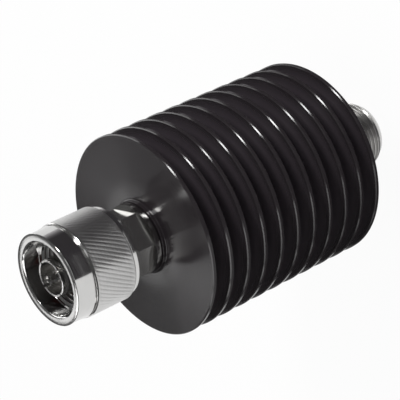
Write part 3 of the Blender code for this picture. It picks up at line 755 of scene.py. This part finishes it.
# A diamond knurl on a grid wrapped round the axis: grooves run both ways as a pair of helixes, eight
# columns apart, and one way was rolled in deeper than the other
def knurlTree():
    tree, given = newTree("diamondKnurl", (
        ("Crest Radius", "Float", 0.01), ("Groove Depth", "Float", 0.0001), ("Cross Depth", "Float", 0.0001),
        ("Foot", "Float", 0.0), ("Top", "Float", 0.01), ("Grooves Around", "Int", 66), ("Rows", "Int", 46),
        ("Edge", "Float", 0.0003), ("Finish", "Material", None),
    ))
    columns = addNode(tree, "ShaderNodeMath", {"operation": "MULTIPLY"}, {0: given["Grooves Around"], 1: 8.0})
    across = addNode(tree, "ShaderNodeMath", {"operation": "ADD"}, {0: columns, 1: 1.0})
    along = addNode(tree, "ShaderNodeMath", {"operation": "ADD"}, {0: given["Rows"], 1: 1.0})
    sheet, share, raised, turn = flatSheet(tree, across, along)
    column = addNode(tree, "ShaderNodeMath", {"operation": "MULTIPLY"}, {0: share, 1: columns})
    row = addNode(tree, "ShaderNodeMath", {"operation": "MULTIPLY"}, {0: raised, 1: given["Rows"]})
    cuts = []
    for way, depth in (("SUBTRACT", given["Groove Depth"]), ("ADD", given["Cross Depth"])):
        count = addNode(tree, "ShaderNodeMath", {"operation": way}, {0: column, 1: row})
        phase = addNode(tree, "ShaderNodeMath", {"operation": "MULTIPLY"}, {0: count, 1: math.pi / 4})
        wave = addNode(tree, "ShaderNodeMath", {"operation": "COSINE"}, {0: phase})
        level = addNode(tree, "ShaderNodeMapRange", None, {"Value": wave, "From Min": -1.0, "From Max": 1.0})
        narrow = addNode(tree, "ShaderNodeMath", {"operation": "POWER"}, {0: level, 1: 2.0})
        cuts.append(addNode(tree, "ShaderNodeMath", {"operation": "MULTIPLY"}, {0: narrow, 1: depth}))
    deepest = addNode(tree, "ShaderNodeMath", {"operation": "MAXIMUM"}, {0: cuts[0], 1: cuts[1]})
    height = addNode(
        tree, "ShaderNodeMapRange", None, {"Value": raised, "To Min": given["Foot"], "To Max": given["Top"]},
    )
    # The grooves fade out over three rows at each end, and the last row runs down to the lathe's chamfer
    rowsLeft = addNode(tree, "ShaderNodeMath", {"operation": "SUBTRACT"}, {0: given["Rows"], 1: row})
    nearest = addNode(tree, "ShaderNodeMath", {"operation": "MINIMUM"}, {0: row, 1: rowsLeft})
    short = addNode(tree, "ShaderNodeMapRange", None, {"Value": nearest, "To Min": 1.0, "To Max": 0.0})
    fade = addNode(tree, "ShaderNodeMapRange", None, {"Value": nearest, "From Min": 1.0, "From Max": 4.0})
    pared = addNode(tree, "ShaderNodeMath", {"operation": "MULTIPLY"}, {0: short, 1: given["Edge"]})
    cut = addNode(tree, "ShaderNodeMath", {"operation": "MULTIPLY"}, {0: deepest, 1: fade})
    radius = given["Crest Radius"]
    for depth in (cut, pared):
        radius = addNode(tree, "ShaderNodeMath", {"operation": "SUBTRACT"}, {0: radius, 1: depth})
    closed = wrapped(tree, sheet, turn, radius, height)
    facets = addNode(tree, "GeometryNodeTriangulate", {"quad_method": "SHORTEST_DIAGONAL"}, {0: closed})
    return finishTree(tree, facets, given["Finish"])


# A screw thread: a grid whose rows climb one pitch for each turn, held flat at both ends
def threadTree():
    tree, given = newTree("screwThread", (
        ("Root Radius", "Float", 0.007), ("Crest Radius", "Float", 0.008), ("Foot", "Float", 0.0),
        ("Top", "Float", 0.01), ("Pitch", "Float", 0.00106), ("Turns", "Int", 10), ("Steps", "Int", 96),
        ("Cone Radius", "Float", 1.0), ("Cone Slope", "Float", 0.0), ("Finish", "Material", None),
    ))
    across = addNode(tree, "ShaderNodeMath", {"operation": "ADD"}, {0: given["Steps"], 1: 1.0})
    rows = addNode(tree, "ShaderNodeMath", {"operation": "MULTIPLY"}, {0: given["Turns"], 1: 4.0})
    along = addNode(tree, "ShaderNodeMath", {"operation": "ADD"}, {0: rows, 1: 1.0})
    sheet, share, raised, turn = flatSheet(tree, across, along)
    row = addNode(tree, "ShaderNodeMath", {"operation": "MULTIPLY"}, {0: raised, 1: rows})
    whole = addNode(tree, "ShaderNodeMath", {"operation": "ROUND"}, {0: row})
    stage = addNode(tree, "ShaderNodeMath", {"operation": "MODULO"}, {0: whole, 1: 4.0})
    quarter = addNode(tree, "ShaderNodeMath", {"operation": "DIVIDE"}, {0: whole, 1: 4.0})
    turnsDone = addNode(tree, "ShaderNodeMath", {"operation": "FLOOR"}, {0: quarter})
    offset = addNode(tree, "GeometryNodeIndexSwitch", {"data_type": "FLOAT"})
    level = addNode(tree, "GeometryNodeIndexSwitch", {"data_type": "FLOAT"})
    for pick, values in ((offset, (0.0, 0.22, 0.55, 0.67)), (level, (0.0, 0.0, 1.0, 1.0))):
        pick.index_switch_items.new()
        pick.index_switch_items.new()
        linkNode(tree, pick, {"Index": stage, **dict(enumerate(values, 1))})
    free = turnsDone
    climb = (
        ("ADD", offset), ("ADD", share), ("SUBTRACT", 1.0),
        ("MULTIPLY", given["Pitch"]), ("ADD", given["Foot"]),
    )
    for way, value in climb:
        free = addNode(tree, "ShaderNodeMath", {"operation": way}, {0: free, 1: value})
    low = addNode(tree, "ShaderNodeMath", {"operation": "MAXIMUM"}, {0: free, 1: given["Foot"]})
    height = addNode(tree, "ShaderNodeMath", {"operation": "MINIMUM"}, {0: low, 1: given["Top"]})
    above = addNode(tree, "ShaderNodeMath", {"operation": "GREATER_THAN"}, {0: free, 1: given["Foot"]})
    below = addNode(tree, "ShaderNodeMath", {"operation": "LESS_THAN"}, {0: free, 1: given["Top"]})
    within = addNode(tree, "ShaderNodeMath", {"operation": "MULTIPLY"}, {0: above, 1: below})
    crest = addNode(tree, "ShaderNodeMath", {"operation": "MULTIPLY"}, {0: within, 1: level})
    radius = addNode(
        tree, "ShaderNodeMapRange", None,
        {"Value": crest, "To Min": given["Root Radius"], "To Max": given["Crest Radius"]},
    )
    lead = addNode(tree, "ShaderNodeMath", {"operation": "MULTIPLY"}, {0: height, 1: given["Cone Slope"]})
    cone = addNode(tree, "ShaderNodeMath", {"operation": "ADD"}, {0: lead, 1: given["Cone Radius"]})
    radius = addNode(tree, "ShaderNodeMath", {"operation": "MINIMUM"}, {0: radius, 1: cone})
    closed = wrapped(tree, sheet, turn, radius, height)
    return finishTree(tree, closed, given["Finish"])


# Gives a wrapped sheet a back at one radius, so that it is a closed ring let into its piece
def backed(mesh, radius):
    shape = bmesh.new()
    shape.from_mesh(mesh)
    rims = [edge for edge in shape.edges if edge.is_boundary]
    made = bmesh.ops.extrude_edge_only(shape, edges=rims)["geom"]
    for vertex in [part for part in made if isinstance(part, bmesh.types.BMVert)]:
        flat = Vector((vertex.co.x, vertex.co.y)).normalized() * radius * mm
        vertex.co.x, vertex.co.y = flat
    inner = [edge for edge in shape.edges if edge.is_boundary]
    bmesh.ops.bridge_loops(shape, edges=inner)
    bmesh.ops.recalc_face_normals(shape, faces=shape.faces[:])
    return plainMesh(shape, mesh.name)


threads = threadTree()


def buildNut():
    size = nutSizes
    bodyRadius = size["knurlRadius"] - size["knurlEdge"] - size["knurlDepth"] - 0.02
    land, lowKnurl, bore = size["landRadius"], size["landTop"], size["boreRadius"]
    lip, mouth, cut = size["lip"], size["mouthRadius"], size["mouthChamfer"]
    step, knurlFace = lip - size["mouthDepth"], size["knurlTop"] - 0.02
    root, relief, snap = size["threadRoot"] + 0.05, size["undercutRadius"] + 0.05, size["snapRadius"]
    (under, over), (low, high) = size["undercut"], size["snapGroove"]
    outline = [
        (bore, size["rear"]), (land, size["rear"], 0.12), (size["landNeck"], lowKnurl + 0.1, 0),
        (bodyRadius, lowKnurl + 0.2, 0), (bodyRadius, knurlFace, 0.02),
        (size["grooveRadius"], knurlFace, 0.08), (size["grooveRadius"], size["grooveTop"], 0.08),
        (size["bandRadius"], size["grooveTop"], 0.10),
        (size["waistRadius"], size["waist"], 0), (size["lipRadius"], lip, size["lipEdge"]),
        (mouth + cut, lip, 0.03), (mouth, lip - cut, 0.03), (mouth, step, 0.05), (root, step, 0),
        (root, over, 0), (relief, over, 0), (relief, under, 0.1), (bore, under, 0.05), (bore, high, 0.05),
        (snap, high, 0), (snap, low, 0), (bore, low, 0.05),
    ]
    sleeve = turnedMesh("sleeve", outline, size["steps"], 0.08, 4)
    knurl = grown(knurlTree(), {
        "Crest Radius": size["knurlRadius"] * mm, "Groove Depth": size["knurlDepth"] * mm,
        "Cross Depth": size["crossDepth"] * mm, "Foot": lowKnurl * mm, "Top": size["knurlTop"] * mm,
        "Grooves Around": size["diamonds"], "Rows": size["rows"], "Edge": size["knurlEdge"] * mm,
        "Finish": nutNickel,
    })
    thread = grown(threads, {
        "Root Radius": size["threadRoot"] * mm, "Crest Radius": size["threadCrest"] * mm,
        "Foot": over * mm, "Top": step * mm, "Pitch": size["threadPitch"] * mm,
        "Turns": 7, "Steps": 144, "Finish": nutNickel,
    })
    meshes = [sleeve, backed(knurl, bodyRadius - 0.2), backed(thread, size["threadRoot"] + 0.2)]
    finishPiece("knurledCouplingNut", meshes, nutNickel, "coupling_nut", 14.0, "nut")


buildNut()


# Connector bodies and the turned pieces inside them

# The spigot on both bodies, its O-ring groove measured from the seat, and the bore through them
spigot = {
    "radius": 6.5, "length": 7.5, "tipEdge": 0.2, "groove": (0.9, 2.4), "grooveRadius": 5.3, "lineBore": 3.5,
}
plugSizes = {
    "seat": 66.7, "barRadius": 7.75, "collar": 1.45, "hexAcross": 13.0, "hexTop": 72.7,
    "runOut": 0.25, "chamfer": (0.65, 1.0), "neckRadius": 7.0, "neckFace": 79.5, "snapFloor": 6.2,
    "tubeSeat": (5.5, 77.2), "beadSeat": (4.7, 75.4), "steps": 240,
}


def buildPlugBody():
    size = plugSizes
    seat, bar, neck = size["seat"], size["barRadius"], size["neckRadius"]
    outer, groove, bore = spigot["radius"], spigot["grooveRadius"], spigot["lineBore"]
    tip, (near, far) = seat - spigot["length"], spigot["groove"]
    low, high = nutSizes["snapGroove"]
    (tubeSeat, tubeFloor), (beadSeat, beadFloor) = size["tubeSeat"], size["beadSeat"]
    outline = [
        (bore, tip), (outer, tip, spigot["tipEdge"]), (outer, seat - far), (groove, seat - far),
        (groove, seat - near), (outer, seat - near), (outer, seat),
        (bar, seat, 0.12), (bar, size["hexTop"] - size["chamfer"][1], 0),
        (bar - size["chamfer"][0], size["hexTop"], 0.05), (neck, size["hexTop"]), (neck, low),
        (size["snapFloor"], low), (size["snapFloor"], high), (neck, high), (neck, size["neckFace"], 0.1),
        (tubeSeat, size["neckFace"]), (tubeSeat, tubeFloor), (beadSeat, tubeFloor), (beadSeat, beadFloor),
        (bore, beadFloor),
    ]
    blank = turnedMesh("plugBlank", outline, size["steps"])
    hexFoot = seat + size["collar"]
    sleeve = hexagonSleeve(size["hexAcross"], hexFoot, size["hexTop"] + 0.25, (-size["runOut"], 0.0))
    turned = milled(blank, [sleeve])
    edged = breakEdges(turned, hexFoot - 0.3, size["hexTop"] + 0.01, 0.07)
    finishPiece("plugBodyWithHexagon", [edged], bodyNickel, "plug_body", 20.0)


jackSizes = {
    "seat": 16.5, "barRadius": 8.5, "hexAcross": 16.0, "hex": (10.7, 14.7), "chamfer": (1.1, 1.3),
    "noseRadius": 6.6, "noseLength": 2.2, "threadCrest": 7.94, "threadRoot": 7.29, "threadPitch": 25.4 / 24,
    "threadTop": 9.8, "runoutRadius": 7.24, "boreRadius": 4.05, "boreDepth": 9.1, "beadPocket": (4.4, 12.0),
    "steps": 240,
}


def buildJackBody():
    size = jackSizes
    bar, nose, root = size["barRadius"], size["noseRadius"], size["threadRoot"]
    slope = (size["threadCrest"] - nose) / size["noseLength"]
    threadFoot = (root - nose) / slope
    foot, top = size["hex"]
    seat = size["seat"]
    tip, (near, far) = seat + spigot["length"], spigot["groove"]
    outer, groove, bore = spigot["radius"], spigot["grooveRadius"], spigot["lineBore"]
    pocket, pocketFloor = size["beadPocket"]
    outline = [
        (size["boreRadius"], 0.0, 0.12), (nose, 0.0, 0.08), (root - 0.02, threadFoot - 0.02, 0),
        (root - 0.02, size["threadTop"], 0), (size["runoutRadius"], size["threadTop"], 0),
        (size["runoutRadius"], foot), (bar - size["chamfer"][0], foot, 0.05),
        (bar, foot + size["chamfer"][1], 0),
        (bar, seat, 0.12), (outer, seat), (outer, seat + near), (groove, seat + near), (groove, seat + far),
        (outer, seat + far), (outer, tip, spigot["tipEdge"]), (pocket, tip), (pocket, pocketFloor),
        (bore, pocketFloor), (bore, size["boreDepth"], 0.05),
        (size["boreRadius"], size["boreDepth"], 0.03),
    ]
    blank = turnedMesh("jackBlank", outline, size["steps"])
    turned = milled(blank, [hexagonSleeve(size["hexAcross"], foot - 0.25, top)])
    edged = breakEdges(turned, foot - 0.01, top + 0.05, 0.07)
    thread = grown(threads, {
        "Root Radius": root * mm, "Crest Radius": size["threadCrest"] * mm, "Foot": threadFoot * mm,
        "Top": size["threadTop"] * mm, "Pitch": size["threadPitch"] * mm, "Turns": 11, "Steps": 144,
        "Cone Radius": nose * mm, "Cone Slope": slope, "Finish": threadNickel,
    })
    meshes = [edged, backed(thread, root - 0.3)]
    finishPiece("threadedJackBody", meshes, threadNickel, "jack_body", 20.0)


buildPlugBody()
buildJackBody()

contactSizes = {
    "slot": 0.5, "slotDepth": 5.5, "slotTurn": 62.5, "tubeRadius": 4.0, "tubeFlange": 5.2, "tip": 89.2,
    "line": 1.52, "head": 2.4, "headSlot": (9.6, 2.5, 4.0), "pinRadius": 0.8, "pinTip": 86.5,
    "socketSlit": 0.3, "socketBore": 0.83, "socketTip": 4.35, "steps": 96,
}


def buildContacts():
    size = contactSizes
    bore, outer, flange, tip = spigot["lineBore"], size["tubeRadius"], size["tubeFlange"], size["tip"]
    tube = [
        (bore, 77.5), (flange, 77.5), (flange, 79.5), (outer, 79.5), (outer, tip, 0.06), (bore, tip, 0.05),
    ]
    slots = [
        block((outer, 0, tip - size["slotDepth"] / 2 + 0.5), (8.0, size["slot"], size["slotDepth"] + 1.0),
              math.radians(size["slotTurn"] + 90 * number))
        for number in range(4)
    ]
    blank = turnedMesh("tube", tube, 180)
    meshes = [milled(blank, slots)]
    finishPiece("slottedOuterContact", meshes, contactSilver, "plug_outer_contact", 25.0)
    line, head, thin = size["line"], size["head"], size["pinRadius"]
    pin = [
        (0.0, 56.0), (head, 56.0), (head, 59.5), (line, 59.5), (line, 83.5, 0.05), (1.12, 83.9, 0.05),
        (thin, 83.9, 0.05), (thin, size["pinTip"], 0.55), (0.0, size["pinTip"]),
    ]
    blank = turnedMesh("pin", pin, size["steps"], 0.08, 5, False)
    meshes = [milled(blank, [block((0, 0, 57.0), size["headSlot"])])]
    finishPiece("steppedCentrePin", meshes, contactSilver, "plug_centre_pin", 25.0)
    hole, tip = size["socketBore"], size["socketTip"]
    socket = [
        (0.0, 27.2), (head, 27.2), (head, 23.7), (line, 23.7), (line, tip, 0.1), (hole, tip, 0.1),
        (hole, 10.35), (0.0, 10.35),
    ]
    cuts = [block((0, 0, 26.2), size["headSlot"])]
    for number in range(2):
        cuts.append(block((0, 0, 5.85), (6.0, size["socketSlit"], 5.0), math.radians(45 + 90 * number)))
    blank = turnedMesh("socket", socket, size["steps"], 0.08, 4, False)
    meshes = [milled(blank, cuts)]
    finishPiece("slittedCentreSocket", meshes, contactSilver, "jack_centre_socket", 25.0)


buildContacts()

# Small turned and moulded rings: outline in mm, finish, node that each stands for, and its slot
ringPieces = {
    "plugBead": (
        [(1.82, 68.3), (3.2, 68.3), (3.2, 75.7), (4.4, 75.7),
         (4.4, 77.2), (3.2, 77.2), (3.2, 82.0), (1.82, 82.0)],
        fluoropolymer, "plug_insulator", "white_plastic",
    ),
    "jackBead": (
        [(1.82, 9.4), (3.2, 9.4), (3.2, 12.3), (4.1, 12.3), (4.1, 15.0), (1.82, 15.0)],
        fluoropolymer, "jack_insulator", "white_plastic",
    ),
    "jackBeadRetainer": (
        [(3.5, 15.3), (4.1, 15.3), (4.1, 23.7), (3.5, 23.7)],
        bodyNickel, "jack_bead_retainer", "nickel_plate",
    ),
    "faceGasket": (
        [(4.3, 79.8, 0.25), (7.0, 79.8, 0.25), (7.0, 80.6, 0.25), (4.3, 80.6, 0.25)],
        silicone, "plug_gasket", "silicone",
    ),
    "plugORing": (
        [(5.6, 64.6, 0.44), (6.5, 64.6, 0.44), (6.5, 65.5, 0.44), (5.6, 65.5, 0.44)],
        nitrile, "plug_o_ring", "rubber",
    ),
    "jackORing": (
        [(5.6, 17.7, 0.44), (6.5, 17.7, 0.44), (6.5, 18.6, 0.44), (5.6, 18.6, 0.44)],
        nitrile, "jack_o_ring", "rubber",
    ),
}


def buildRings():
    for name, (outline, finish, node, slot) in ringPieces.items():
        finishPiece(name, [turnedMesh(name, outline, 120, 0.08, 6)], finish, node)


buildRings()

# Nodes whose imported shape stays, with their finish
keptNodes = {
    "nut_snap_ring": springSteel, "carrier_half_front": bareAluminium, "carrier_half_back": bareAluminium,
    "carrier_dowel_jack_end": springSteel, "carrier_dowel_plug_end": springSteel, "attenuator_card": ceramic,
    "card_terminal_jack_end": contactSilver, "card_terminal_plug_end": contactSilver,
}


def dressKeptNodes():
    for name, finish in keptNodes.items():
        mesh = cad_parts[name].data
        mesh.materials.clear()
        mesh.materials.append(finish)


dressKeptNodes()
print("kept nodes dressed:", len(keptNodes))
